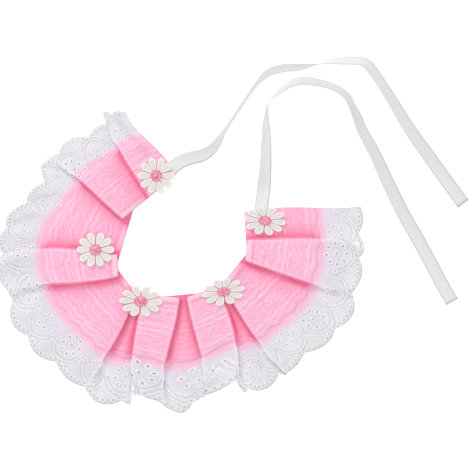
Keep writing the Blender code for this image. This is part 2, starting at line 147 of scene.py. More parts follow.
INNER_RIBBON = [
    (56.2, 12.0, 0, 3.6), (56.4, 17.3, 0, 3.4), (58.0, 29.5, 6, 1.2), (59.2, 44.4, 26),
    (59.8, 64.2, 42), (59.8, 78.0, 62), (61.1, 90.6, 86), (63.7, 95.0, 97),
    (68.4, 99.7, 112), (75.2, 104.4, 118), (82.1, 107.3, 126), (90.0, 107.7, 128),
    (99.9, 106.1, 124), (111.0, 102.2, 122), (117.7, 97.2, 125), (121.3, 90.7, 124),
    (125.1, 82.4, 136), (129.5, 71.4, 144), (137.2, 57.6, 152), (147.6, 35.3, 164),
    (159.1, 12.2, 172), (172.1, -10.8, 178), (185.0, -35.3, 180), (194.0, -51.1, 180),
]

# The two laces: their walls, how they lie about the shared surface, and the least height over the floor.
LACE_WALL = 0.42
PINK_WALL = 0.5
EYELET_SINK = 0.82
PINK_LIFT = 0.55
HEM_SETTLES = 0.88
HEM_THINS = 0.90
LOWEST = 0.04
LEAST_WALL = 0.2

# The white lace's eyelets: one repeat is a scallop, and a flower is (eyelets, radius of their ring, their
# half length). An eyelet's points are outside it, on its rim, on the raised ring round it or in its well.
REPEAT = 29.5
LACE_DEPTH = 83.0
EYELET_ZONE = 31.0
FINE_ZONE = 6.5
BORDER_IN = 2.5
BORDER_EYELETS = 8
BORDER_RADIUS = 0.95
FLOWER_IN = 15.8
BIG_FLOWER = (8, 7.3, 1.2)
SMALL_FLOWER = (5, 4.9, 0.85)
SIDES = 8
WELL_IN = 0.42
RING, CROWN, WELL = 1, 2, 3
HEIGHTS = (0.0, 0.18, 0.26, -0.05)

# The pink lace's ribs along its hem, as (depth, height, width), and its wrinkles' pitches.
PINK_RIBS = ((29.0, 0.32, 1.2), (50.2, 0.12, 1.5), (24.6, 0.14, 0.9), (46.4, 0.16, 1.0))
FINE_PITCH = 3.3
BROAD_PITCH = 6.7
PANEL_APART = 400.0

# The daisies and the neck's running stitch. The petal's loops are (inset, height, shine) and the button's
# are (share of the half width, height).
PETALS = 10
PETAL_POINTS = 28
PETAL_WIDTH = 0.195
PETAL_LOOPS = ((0.0, 0.0, 1.0), (0.0, 0.55, 1.0), (0.08, 0.92, 1.0), (0.22, 1.02, 0.9), (0.38, 0.88, 0.3),
               (0.72, 0.86, 0.1), (0.96, 0.9, 0.1))
BUTTON_LOOPS = ((0.27, 0.0), (0.29, 1.3), (0.285, 1.75), (0.25, 2.0), (0.17, 2.15), (0.08, 2.2))
BUTTON_POINTS = 30
BUTTON_STITCHES = 22
BUTTON_STITCH = ((1.0, 1.25), (1.15, 1.6), (0.8, 1.95), (0.3, 2.05))
BUTTON_LEAN = math.pi / 2 + 0.35
STITCH_DEPTH = 0.052
STITCH_LENGTH = 1.8
STITCH_PITCH = 3.0
STITCH_RINGS = ((0, 0.10, -0.25), (0, 0.22, 0.0), (1, 0.27, 0.0), (2, 0.22, 0.0), (2, 0.10, 0.25))

# Pale colours are dimmed to suit the studio light, the pink ones a little less.
DIM = 0.76
PINK_DIM = 0.81


def smooth(t):
    t = np.clip(t, 0.0, 1.0)
    return t * t * (3 - 2 * t)


def lengths(vectors):
    return np.linalg.norm(vectors, axis=1)


def gone_along(places):
    """The way gone along a line of places, at each of them."""
    return np.concatenate([[0.0], np.cumsum(lengths(np.diff(places, axis=0)))])


def blurred(values, kernel):
    padded = np.pad(values, len(kernel) // 2, mode="edge")
    return np.convolve(padded, kernel / kernel.sum(), "valid")


def turned(x, y, angle):
    return x * math.cos(angle) - y * math.sin(angle), x * math.sin(angle) + y * math.cos(angle)


def through_thirds(values, v):
    """The cubic curve through four values at 0, 1/3, 2/3 and 1."""
    total = 0.0
    for i, value in enumerate(values):
        share = 1.0
        for j in range(4):
            if j != i:
                share = share * (3 * v - j) / (i - j)
        total = total + share * value
    return total


def polar(radius, degrees):
    turn = math.radians(degrees)
    return np.array([radius * math.cos(turn), radius * math.sin(turn)])


def line_point(line, v):
    return polar(line["neck"] + (line["hem"] - line["neck"]) * v, through_thirds(line["deg"], v))


def across(start, end, f, v, bow=(0.0, 0.0)):
    chord = start + (end - start) * f
    a0 = math.atan2(start[1], start[0])
    turn = (math.atan2(end[1], end[0]) - a0 + math.pi) % math.tau - math.pi
    r0, r1 = math.hypot(*start), math.hypot(*end)
    out = through_thirds((0.0, *bow, 0.0), f) * v
    arc = polar(r0 + (r1 - r0) * f + out, math.degrees(a0 + turn * f))
    return chord * (1 - v) + arc * v


def tuck_at(pleat, v):
    return pleat["tuck"][0] + (pleat["tuck"][1] - pleat["tuck"][0]) * v * v


def crest_height(pleat, v):
    lift = pleat["lift"] * max(0.0, (v - LIFT_FROM) / (1 - LIFT_FROM)) ** 2
    opened = max(0.0, -tuck_at(pleat, v))
    least = math.sqrt(max(0.0, (2 * BEND_ROOM * BEND_R) ** 2 - opened ** 2))
    return TABLE_Z + 2 * BEND_R + max(2 * BEND_R + lift, least)


def fold(pleat, inside, v):
    """The stations through one pleat at depth v, as (place, normal, scallop count)."""
    crest = line_point(pleat, v)
    near = across(inside, crest, 0.92, v)
    ahead = (crest - near) / np.linalg.norm(crest - near)
    radial = crest / np.linalg.norm(crest)
    crest_z = crest_height(pleat, v)
    bare = float(smooth((v - BARE_FROM) / (BARE_TO - BARE_FROM)))
    crest_middle = crest - ahead * (CREST_IN - 2 * PLY * bare)
    run = -tuck_at(pleat, v)
    root_middle = crest_middle + ahead * run
    further = radial * (pleat["root"] - pleat["hem"]) * v ** 4
    drop = crest_z - TABLE_Z - 2 * BEND_R
    turn = math.atan2(drop, run) + math.asin(min(1.0, 2 * BEND_R / math.hypot(drop, run)))
    made = []
    for k in range(ARC_STEPS + 1):
        a = turn * k / ARC_STEPS
        at = crest_middle + ahead * BEND_R * math.sin(a)
        made.append((at, crest_z - BEND_R + BEND_R * math.cos(a), a))
    bend, bend_z, _ = made[ARC_STEPS]
    foot = root_middle - ahead * BEND_R * math.sin(turn)
    foot_z = TABLE_Z + BEND_R - BEND_R * math.cos(turn)
    for k in range(1, ARC_STEPS):
        share = k / ARC_STEPS
        made.append((bend + (foot - bend) * share, bend_z + (foot_z - bend_z) * share, turn))
    for k in range(ARC_STEPS + 1):
        a = turn * (ARC_STEPS - k) / ARC_STEPS
        at = root_middle - ahead * BEND_R * math.sin(a)
        made.append((at, TABLE_Z + BEND_R - BEND_R * math.cos(a), a))
    steep = 0.0
    if pleat["root"] > pleat["hem"]:
        steep = float(smooth((turn - STEEP_FROM) / (STEEP_TO - STEEP_FROM)))
    stations = []
    for k, (at, z, a) in enumerate(made):
        if run > 0:
            passed = min(1.0, max(0.0, (at - crest_middle) @ ahead / run))
        else:
            passed = min(1.0, max(0.0, (k - ARC_STEPS) / ARC_STEPS))
        count = pleat["scallop"] + (pleat["under"] - pleat["scallop"]) * passed
        place = at + further * (passed + (k / (len(made) - 1) - passed) * steep)
        normal = np.array([*(ahead * math.sin(a)), math.cos(a)])
        stations.append([np.array([*place, z]), normal, count])
    return stations if pleat["first_over"] else stations[::-1]


def margins(pleat, side, v):
    if pleat is None:
        return FREE_END_FLAT
    on_top = pleat["first_over"] == (side == "end")
    tuck = max(0.0, tuck_at(pleat, v))
    return tuck + CREST_IN + (PAST_ROOT if on_top else PAST_CREST)


def panel_stations(panel, before, after, start, end, v):
    p, q = start[0][:2], end[0][:2]
    trial = [across(p, q, k / 12, v, panel["bow"]) for k in range(13)]
    width = sum(np.linalg.norm(b - a) for a, b in zip(trial, trial[1:]))
    flat_start, flat_end = margins(before, "start", v), margins(after, "end", v)
    squeeze = min(1.0, (width - RAMP) / (flat_start + flat_end))
    f0, f1 = flat_start * squeeze / width, 1 - flat_end * squeeze / width
    rippling = panel["ripple"] * float(smooth((v - WAVE_FROM) / (1 - WAVE_FROM)))
    steps = panel["steps"] * FINER
    shares = [(f0 * k / 6, 0.0) for k in range(1, 6)]
    shares += [(f0 + (f1 - f0) * k / steps, k / steps) for k in range(steps + 1)]
    shares += [(f1 + (1 - f1) * k / 6, 1.0) for k in range(1, 6)]
    stations = []
    for f, share in shares:
        count = start[2] + (end[2] - start[2]) * f
        z = start[0][2] + (end[0][2] - start[0][2]) * float(smooth(share))
        z -= panel["sag"] * v * math.sin(math.pi * share)
        z += rippling * math.sin(math.pi * share) * (1 - math.cos(math.tau * count)) / 2
        stations.append([np.array([*across(p, q, f, v, panel["bow"]), z]), None, count])
    return stations


def row(v):
    """One row round the bib: places, normals, the counts that set the scallops, and an even count."""
    crests = [line_point(line, v) for line in (FIRST_END, *PLEATS, LAST_END)]
    folds = []
    for i, pleat in enumerate(PLEATS):
        inside = crests[i] if pleat["first_over"] else crests[i + 2]
        folds.append(fold(pleat, inside, v))
    ends = [[np.array([*crests[k], TABLE_Z]), None, line["scallop"]]
            for k, line in ((0, FIRST_END), (-1, LAST_END))]
    stations = [ends[0]]
    spans = []
    for i, panel in enumerate(PANELS):
        before = PLEATS[i - 1] if i > 0 else None
        after = PLEATS[i] if i < len(PLEATS) else None
        last = folds[i][0] if after else ends[1]
        stations += panel_stations(panel, before, after, stations[-1], last, v)
        if after:
            spans.append((len(stations), len(stations) + len(folds[i])))
            stations += folds[i]
        else:
            stations.append(ends[1])
    places = np.array([s[0] for s in stations])
    counts = np.array([s[2] for s in stations])
    along = gone_along(places)
    even = counts.copy()
    for a, b in spans:
        share = (along[a:b] - along[a]) / (along[b - 1] - along[a])
        even[a:b] = counts[a] + (counts[b - 1] - counts[a]) * share
    tangents = np.gradient(places, along, axis=0)
    flat = tangents[:, :2]
    length = lengths(flat)
    normals = np.concatenate([-flat * (tangents[:, 2] / np.maximum(length, 1e-6))[:, None],
                              length[:, None]], axis=1)
    for i, station in enumerate(stations):
        if station[1] is not None:
            normals[i] = station[1]
    normals /= lengths(normals)[:, None]
    return places, normals, counts, even


class Cloth:
    """The shared surface as a table over the depth v and the even scallop count n."""

    def __init__(self):
        self.v = np.concatenate([np.linspace(0.0, 0.1, 6), np.linspace(0.12, 1.0, 45)])
        rows = [row(v) for v in self.v]
        # Columns are closer together where the cloth's length changes fast with the count.
        hem = rows[-1]
        self.n = np.unique(np.concatenate([hem[3], rows[len(rows) * 2 // 3][3]]))
        self.n = self.n[np.concatenate([[True], np.diff(self.n) > 2e-4])]
        self.place, self.normal = [
            np.array([[np.interp(self.n, line[3], line[part][:, k]) for k in range(3)]
                      for line in rows]).transpose(0, 2, 1) for part in (0, 1)]
        self.normal /= np.linalg.norm(self.normal, axis=2)[:, :, None]
        self.reach = SCALLOP_DEPTH * np.abs(
            np.sin(math.pi * np.interp(self.n, hem[3], hem[2]))) ** SCALLOP_ROUND
        inner = self.at(self.n, 0.9)[0]
        way = (self.place[-1] - inner) * (1, 1, 0)
        way /= lengths(way)[:, None]
        for k in range(2):
            way[:, k] = blurred(way[:, k], np.hanning(41))
        self.way = way / lengths(way)[:, None]
        # How deep the cloth is, from neck to hem, at each count.
        upper = self.at(self.n, 0.6)[0]
        deep = lengths(self.place[-1] - upper) / 0.4
        grid = np.linspace(self.n[0], self.n[-1], 1200)
        level = blurred(np.interp(grid, self.n, deep), np.ones(61))
        self.deep = np.interp(self.n, grid, level)

    def at(self, n, v):
        """Places and normals at the counts n and depths v, which may be one number."""
        v = np.clip(v, 0.0, 1.0) + np.zeros(len(n))
        i = np.clip(np.searchsorted(self.v, v) - 1, 0, len(self.v) - 2)
        fv = ((v - self.v[i]) / (self.v[i + 1] - self.v[i]))[:, None]
        j = np.clip(np.searchsorted(self.n, n) - 1, 0, len(self.n) - 2)
        fn = ((n - self.n[j]) / (self.n[j + 1] - self.n[j]))[:, None]

        def mixed(t):
            near = t[i, j] * (1 - fn) + t[i, j + 1] * fn
            far = t[i + 1, j] * (1 - fn) + t[i + 1, j + 1] * fn
            return near * (1 - fv) + far * fv

        normal = mixed(self.normal)
        return mixed(self.place), normal / lengths(normal)[:, None]

    def columns(self, step_open, step_fold, v=0.82):
        """Counts for the columns of a grid, a step apart along the cloth."""
        at, normal = self.at(self.n, v)
        tilt = 1 - np.abs(normal[:, 2])
        weight = 1 / (step_open + (step_fold - step_open) * smooth((tilt - 0.05) / 0.25))
        weight = blurred(weight, np.ones(13))
        steps = (weight[1:] + weight[:-1]) / 2 * np.diff(gone_along(at))
        total = np.concatenate([[0.0], np.cumsum(steps)])
        many = int(round(total[-1]))
        return np.interp(np.linspace(0, total[-1], many + 1), total, self.n)


cloth = Cloth()


def scale_at(n, v):
    """Millimetres of cloth for one scallop count."""
    step = 0.02
    a, _ = cloth.at(np.clip(n - step, cloth.n[0], cloth.n[-1]), v)
    b, _ = cloth.at(np.clip(n + step, cloth.n[0], cloth.n[-1]), v)
    return lengths(b - a) / (2 * step)


# Soft creases in the cloth: the count where each begins and ends, the depths between which it runs,
# its height (troughs are below zero) and its width, in millimetres.
CREASES = [
    (0.62, 0.75, 0.02, 0.55, -0.45, 3.0), (1.05, 1.0, 0.1, 0.8, 0.5, 3.5),
    (2.55, 2.45, 0.03, 0.7, 0.55, 4.0), (3.05, 2.95, 0.05, 0.9, -0.5, 4.5),
    (3.65, 3.55, 0.1, 0.6, 0.45, 3.0), (5.0, 4.9, 0.02, 0.65, 0.55, 4.0),
    (5.6, 5.8, 0.05, 0.95, -0.6, 6.0), (6.3, 6.6, 0.05, 0.75, 0.6, 5.0),
    (7.0, 7.4, 0.1, 1.0, 0.7, 6.0), (7.5, 7.6, 0.02, 0.5, -0.5, 3.0),
    (9.3, 9.35, 0.05, 0.7, 0.45, 3.5), (10.5, 10.4, 0.03, 0.6, 0.55, 4.0),
    (11.2, 11.1, 0.05, 0.95, -0.6, 6.0), (11.9, 12.0, 0.05, 0.7, 0.55, 5.0),
    (12.5, 12.5, 0.1, 1.0, 0.6, 5.0), (13.75, 13.8, 0.55, 1.0, 0.45, 4.0),
    (16.05, 16.1, 0.05, 0.85, -0.4, 3.0), (16.8, 16.85, 0.6, 1.0, 0.5, 4.0),
    (18.5, 18.5, 0.05, 0.8, 0.4, 3.0), (20.3, 20.4, 0.55, 1.0, 0.6, 5.0),
    (24.8, 24.7, 0.02, 0.6, 0.5, 4.0), (25.3, 25.2, 0.05, 0.95, -0.6, 6.0),
    (25.9, 26.0, 0.05, 0.8, 0.6, 5.0), (26.4, 26.4, 0.1, 0.6, -0.4, 3.0),
    (27.7, 27.7, 0.05, 0.75, 0.45, 4.0), (28.1, 28.1, 0.3, 1.0, -0.4, 4.0),
    (29.2, 29.25, 0.1, 0.9, 0.5, 4.0),
]
# Uneven swells: height, size, seed, the depth where each begins and how far it takes to grow.
SWELLS = [(0.35, 16.0, 3.0, 0.05, 0.3), (0.55, 9.0, 11.0, 0.80, 0.2)]


def noise_at(points, size, seed):
    return np.array([noise.noise(Vector((x / size + seed, y / size, z / size))) for x, y, z in points])


def relief(n, v, points):
    """How far both laces stand off the shared surface, in millimetres."""
    scale = scale_at(n, v)
    height = np.zeros(len(n))
    for n0, n1, v0, v1, rise, width in CREASES:
        t = (v - v0) / (v1 - v0)
        middle = n0 + (n1 - n0) * t
        taper = smooth(t * 4) * smooth((1 - t) * 3)
        taper = np.where((t > 0) & (t < 1), taper, 0.0)
        if v1 >= 1.0:
            taper = smooth(t * 4)
        height += rise * taper * np.exp(-((n - middle) * scale / width) ** 2)
    for rise, size, seed, start, over in SWELLS:
        height += rise * noise_at(points, size, seed) * smooth((v - start) / over)
    return height


def hidden_and_shaded(n, v, fade=7.0):
    """1 inside a pleat, which hides the cloth, and just beside its crest, which shades it, falling to 0
    out on the open panel over fade mm; a mask for painted shade on the pink lace and painted light on the
    white.
    """
    scale = scale_at(n, v)
    tone = np.zeros(len(n))
    for pleat in PLEATS:
        lo, hi = sorted((pleat["scallop"], pleat["under"]))
        inside = (n > lo) & (n < hi)
        sign = 1 if pleat["first_over"] else -1
        gone = sign * (n - pleat["under"]) * scale
        beyond = np.exp(-np.maximum(0.0, gone - np.maximum(tuck_at(pleat, v), 0.0) - CREST_IN) / fade)
        tone = np.maximum(tone, np.where(gone >= 0, beyond, 0.0))
        tone = np.maximum(tone, inside * 1.0)
    return tone


def crest_highlight(n, v):
    """1 on the crest of each pleat, falling to 0 within about two millimetres on the open side; the mask
    of a painted highlight along the crests.
    """
    scale = scale_at(n, v)
    tone = np.zeros(len(n))
    for pleat in PLEATS:
        sign = 1 if pleat["first_over"] else -1
        gone = sign * (n - pleat["scallop"]) * scale
        tone = np.maximum(tone, np.exp(-((gone + 0.6) / 0.9) ** 2))
    return tone


def add_object(name, data):
    item = bpy.data.objects.new(name, data)
    bpy.context.scene.collection.objects.link(item)
    return item


def mesh_object(name, points, faces, materials, attributes=None, slots=None):
    """A smooth mesh from points in millimetres round the middle of the neck."""
    mesh = bpy.data.meshes.new(name)
    places = (np.asarray(points, float) + (NECK_X, NECK_Y, 0.0)) * MM
    mesh.from_pydata(places.tolist(), [], faces)
    for key, values in (attributes or {}).items():
        values = np.asarray(values, np.float32)
        kind, part = ("FLOAT", "value") if values.ndim == 1 else ("FLOAT_VECTOR", "vector")
        mesh.attributes.new(key, kind, "POINT").data.foreach_set(part, values.ravel())
    for material in materials:
        mesh.materials.append(material)
    if slots is not None:
        mesh.polygons.foreach_set("material_index", slots)
    mesh.shade_smooth()
    mesh.update()
    return add_object(name, mesh)


def stack_faces(base, rows, count):
    """The faces of a stack of closed loops of points, with flat ends."""
    faces = [tuple(base + c for c in reversed(range(count)))]
    for first in range(base, base + (rows - 1) * count, count):
        for c in range(count):
            a, b = first + c, first + (c + 1) % count
            faces.append((a, b, b + count, a + count))
    faces.append(tuple(base + (rows - 1) * count + c for c in range(count)))
    return faces


def dress(item, node=None):
    """Gives a piece its body, and hides the CAD node if one is named."""
    if node:
        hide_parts(node)
    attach(item, "root")
    return item


def shell(name, top, bottom, faces, attributes, material):
    """A closed thin wall between two copies of a triangle or quad mesh, flat-shaded at its rim."""
    count = len(top)
    seen = dict.fromkeys(pair for face in faces for pair in zip(face, face[1:] + face[:1]))
    walls = [(b, a, a + count, b + count) for a, b in seen if (b, a) not in seen]
    under = [tuple(i + count for i in face[::-1]) for face in faces]
    points = np.concatenate([top, bottom])
    points[:, 2] = np.maximum(points[:, 2], np.repeat([LOWEST + LEAST_WALL, LOWEST], count))
    attributes = {key: np.concatenate([values, values]) for key, values in attributes.items()}
    item = mesh_object(name, points, faces + under + walls, [material], attributes)
    item.data.polygons.foreach_set("use_smooth", [True] * (2 * len(under)) + [False] * len(walls))
    item.data.update()
    return item


def facing_up(points, faces):
    """The faces, turned over if the first of them faces down."""
    a, b, c = points[faces[0][0]], points[faces[0][1]], points[faces[0][-1]]
    return [face[::-1] for face in faces] if np.cross(b - a, c - a)[2] < 0 else faces


def own_reach(n):
    return SCALLOP_DEPTH * np.abs(np.sin(math.pi * n)) ** SCALLOP_ROUND


def eyelets():
    """The white trim's eyelets, as (x, y, radius along, radius across, turn) on the flat trim."""
    found = []
    for k in range(0, 31):
        for j in range(BORDER_EYELETS):
            n = k + (j + 0.5) / BORDER_EYELETS
            rise = BORDER_IN - 0.95 * own_reach(n)
            found.append((n * REPEAT, rise, BORDER_RADIUS, BORDER_RADIUS, 0.0))
        big = k % 2 == 0
        many, ring, radius = BIG_FLOWER if big else SMALL_FLOWER
        if big:
            found.append((k * REPEAT, FLOWER_IN, BORDER_RADIUS, BORDER_RADIUS, 0.0))
        for j in range(many):
            a = math.tau * (j + 0.25) / many
            found.append((k * REPEAT + ring * math.cos(a), FLOWER_IN + ring * math.sin(a),
                          radius, 0.8, a))
        for side in (-1, 1):
            found.append(((k + 0.5) * REPEAT + side * 2.4, 13.0 + side * 1.6, 0.75, 0.75, 0.0))
    first, last = cloth.n[0] * REPEAT + 2.4, cloth.n[-1] * REPEAT - 2.4
    return [hole for hole in found if first < hole[0] < last]


def eyelet_cloth(material):
    columns = cloth.columns(1.45, 0.95)
    xs = columns * REPEAT
    ys = np.concatenate([np.linspace(FINE_ZONE, EYELET_ZONE, 16),
                         np.linspace(EYELET_ZONE + 3.2, LACE_DEPTH, 15)])
    holes = eyelets()
    edge = -own_reach(columns)
    grid = [(x, y) for y in ys for x in xs]
    grid += [(x, e + (FINE_ZONE - e) * share) for x, e in zip(xs, edge) for share in (0.25, 0.5, 0.75)]
    grid = np.array(grid)
    keep = np.ones(len(grid), bool)
    for x, y, along, wide, _ in holes:
        near = (np.abs(grid[:, 0] - x) < 3.2) & (np.abs(grid[:, 1] - y) < 3.2)
        close = np.hypot(grid[near, 0] - x, grid[near, 1] - y) < max(along, wide) + 1.15
        keep[np.flatnonzero(near)[close]] = False
    points = [tuple(p) for p in grid[keep]]
    hem = len(points)
    points += list(zip(xs, edge))
    kinds = [0] * len(points)
    edges = [(hem + i, hem + i + 1) for i in range(len(xs) - 1)]
    for x, y, along, wide, turn in holes:
        base = len(points)
        more = 0.85 if along == wide == BORDER_RADIUS else 1.2
        for grow, kind in ((-WELL_IN, WELL), (0.0, RING), (0.45 * more + 0.05, CROWN), (more, 0)):
            for i in range(SIDES):
                a = math.tau * i / SIDES
                dx, dy = (along + grow) * math.cos(a), (wide + grow) * math.sin(a)
                points.append((x + dx * math.cos(turn) - dy * math.sin(turn),
                               y + dx * math.sin(turn) + dy * math.cos(turn)))
                kinds.append(kind)
        for first in (base, base + SIDES, base + 2 * SIDES):
            edges += [(first + i, first + (i + 1) % SIDES) for i in range(SIDES)]
    made, _, faces, origins, _, _ = delaunay_2d_cdt([Vector(p) for p in points], edges, [], 0, 1e-5, True)
    flat = np.array([(p.x, p.y) for p in made])
    kind = np.array([max([kinds[i] for i in o], default=0) for o in origins])
    faces = np.array(faces)
    middle = flat[faces].mean(axis=1)
    inside = middle[:, 1] > np.interp(middle[:, 0], xs, edge)
    for x, y, along, wide, turn in holes:
        near = np.flatnonzero((np.abs(middle[:, 0] - x) < 2.2) & (np.abs(middle[:, 1] - y) < 2.2))
        dx, dy = middle[near, 0] - x, middle[near, 1] - y
        u, w = turned(dx, dy, -turn)
        u, w = u / (along - WELL_IN), w / (wide - WELL_IN)
        inside[near[u * u + w * w < 0.86]] = False
    faces = faces[inside]
    n, y = flat[:, 0] / REPEAT, flat[:, 1]
    deep = np.interp(n, cloth.n, cloth.deep)
    reach = np.interp(n, cloth.n, cloth.reach)
    share = np.clip(1 - (y + own_reach(n)) / 9.0, 0.0, 1.0)
    out = -y + (reach - own_reach(n)) * share ** 2
    zone = np.minimum(EYELET_ZONE, deep * 0.5)
    v = np.where(y < EYELET_ZONE, 1 + out / deep * zone / EYELET_ZONE,
                 (1 - zone / deep) * (LACE_DEPTH - y) / (LACE_DEPTH - EYELET_ZONE))
    place, normal = cloth.at(n, v)
    way = np.stack([np.interp(n, cloth.n, cloth.way[:, k]) for k in range(3)], axis=1)
    past = np.maximum(0.0, out)[:, None]
    place = place + way * past
    lift = (relief(n, v, place) + np.choose(kind, HEIGHTS) - EYELET_SINK)[:, None]
    top = place + normal * (lift + LACE_WALL / 2)
    bottom = place + normal * (lift - LACE_WALL / 2)
    used = np.unique(faces)
    renumber = np.full(len(flat), -1)
    renumber[used] = np.arange(len(used))
    tris = [tuple(int(renumber[i]) for i in face) for face in faces]
    inner = np.minimum(v, 1.0)
    # Masks for painted light inside the pleats, on steep walls and along the crests.
    looks = dict(pat=np.stack([n * REPEAT, y, v], axis=1), tone=hidden_and_shaded(n, inner, 2.2),
                 crest=crest_highlight(n, inner), steep=smooth((0.8 - np.abs(normal[:, 2])) / 0.5),
                 ring=np.where((kind == RING) | (kind == CROWN), 1.0, 0.0),
                 # A mask for the painted shade in the eyelets' wells.
                 well=np.where(kind == WELL, 1.0, 0.0))
    looks = {key: values[used] for key, values in looks.items()}
    return shell("eyelet_lace", top[used], bottom[used], facing_up(top[used], tris), looks, material)


def pink_cloth(material):
    columns = cloth.columns(1.0, 0.85, 0.5)
    rows = np.concatenate([[0.0, 0.008, 0.02, 0.032, 0.044, 0.054, 0.06, 0.064, 0.068, 0.072],
                           np.linspace(0.08, PINK_SHARE, 54)])
    n = np.tile(columns, len(rows))
    v = np.repeat(rows, len(columns))
    deep = np.interp(n, cloth.n, cloth.deep)
    turns = np.sin(math.tau * PINK_WAVES * n)
    wave = PINK_WAVE_DEPTH * turns * smooth((v - 0.55) / (PINK_SHARE - 0.55))
    place, normal = cloth.at(n, v + wave / deep)
    depth = v * LACE_DEPTH
    warp = noise_at(place, 8.0, 21.0) * 3.4 + noise_at(place, 3.0, 5.0) * 0.9
    settle = smooth((v - 0.57) / (PINK_SHARE - 0.57))
    ease = smooth((v - 0.07) / 0.03) * (1 - settle)
    # Wrinkles, strong and weak in turn.
    fine = np.sin(math.tau * (depth + warp) / FINE_PITCH)
    fine *= np.clip(0.65 + 1.1 * noise_at(place, 13.0, 40.0), 0.15, 1.3)
    broad = np.sin(math.tau * (depth + 1.6 * warp) / BROAD_PITCH + 1.0)
    broad *= np.clip(0.5 + 1.2 * noise_at(place, 19.0, 70.0), 0, 1)
    height = relief(n, v, place) + ease * (0.21 * fine + 0.24 * broad)
    # The neck edge is turned over, with a groove along its stitches.
    tone = hidden_and_shaded(n, v)
    shown = 1 - smooth((tone - 0.85) / 0.1)
    hem = smooth(v / 0.006) * (1 - smooth((v - (NECK_HEM - 0.006)) / 0.008))
    height += NECK_HEM_RAISE * hem * np.maximum(shown, 0.2)
    height -= 0.30 * np.exp(-((v - STITCH_DEPTH) / 0.006) ** 2) * shown
    waved = 0.45 * turns + 0.8 * noise_at(place, 12.0, 81.0)
    rib_and_crest_highlight = np.zeros(len(n))
    groove = np.zeros(len(n))
    for middle, rise, wide in PINK_RIBS:
        line = np.exp(-((depth - middle - waved) / wide) ** 2)
        height += rise * line
        rib_and_crest_highlight = np.maximum(rib_and_crest_highlight, line * min(1.0, rise / 0.16))
        groove += np.exp(-((np.abs(depth - middle - waved) - 1.9) / 0.7) ** 2) * rise
    # The flat cloth's own measures, which start anew in each panel.
    grid = place.reshape(len(rows), len(columns), 3)
    steps = np.linalg.norm(np.diff(grid, axis=1), axis=2)
    gone = np.concatenate([np.zeros((len(rows), 1)), np.cumsum(steps, axis=1)], axis=1)
    panel = np.searchsorted([(p["scallop"] + p["under"]) / 2 for p in PLEATS], columns)
    for number in range(len(PANELS)):
        mine = np.flatnonzero(panel == number)
        middle = mine[len(mine) // 2]
        gone[:, mine] -= gone[:, middle : middle + 1]
        gone[:, mine] += PANEL_APART * number
    flat = np.stack([gone.ravel(), depth, np.zeros(len(n))], axis=1)
    lift = (height + PINK_LIFT - HEM_SETTLES * settle)[:, None]
    thin = smooth((v - PINK_SHARE + 0.03) / 0.03)[:, None]
    bottom = place + normal * (lift - PINK_WALL / 2)
    top = bottom + normal * PINK_WALL * (1 - HEM_THINS * thin)
    across_count = len(columns)
    corners = [r * across_count + c for r in range(len(rows) - 1) for c in range(across_count - 1)]
    faces = [(a, a + 1, a + 1 + across_count, a + across_count) for a in corners]
    band = (1 - smooth((v - NECK_HEM + 0.008) / 0.008)) * shown
    # Lighter along the ribs and the neck hem band, and along the pleat crests as a painted highlight.
    rib_and_crest_highlight = np.maximum(np.maximum(rib_and_crest_highlight, 0.9 * band), 0.9 * crest_highlight(n, v))
    # Painted shade: a darker line just below the edge of the raised neck hem, which shades it, and in the
    # grooves beside the ribs.
    stitched = np.exp(-((v - NECK_HEM - 0.003) / 0.005) ** 2) * shown
    hem_and_groove_shade = np.maximum(stitched, groove * (1 - settle))
    # Painted shade, deepest close inside the pleats and beside their crests.
    deepest_shade = hidden_and_shaded(n, v, 1.8) * np.clip(0.75 + 1.2 * noise_at(place, 15.0, 55.0), 0.2, 1.0)
    # Masks for the material: painted shade inside the pleats and beside their crests, and under the neck
    # hem's edge and beside the ribs; a painted highlight along the crests.
    looks = dict(flat=flat, tone=tone, rib_and_crest_highlight=rib_and_crest_highlight, soft=settle, hem_and_groove_shade=hem_and_groove_shade, deepest_shade=deepest_shade)
    return shell("pink_lace_cloth", top, bottom, facing_up(top, faces), looks, material)


class Value:
    """A node's output, for use in sums and products."""

    def __init__(self, shader, socket):
        self.shader = shader
        self.socket = socket

    def __add__(self, other):
        return self.shader.math("ADD", self, other)

    def __sub__(self, other):
        return self.shader.math("SUBTRACT", self, other)

    def __rsub__(self, other):
        return self.shader.math("SUBTRACT", other, self)

    def __mul__(self, other):
        return self.shader.math("MULTIPLY", self, other)


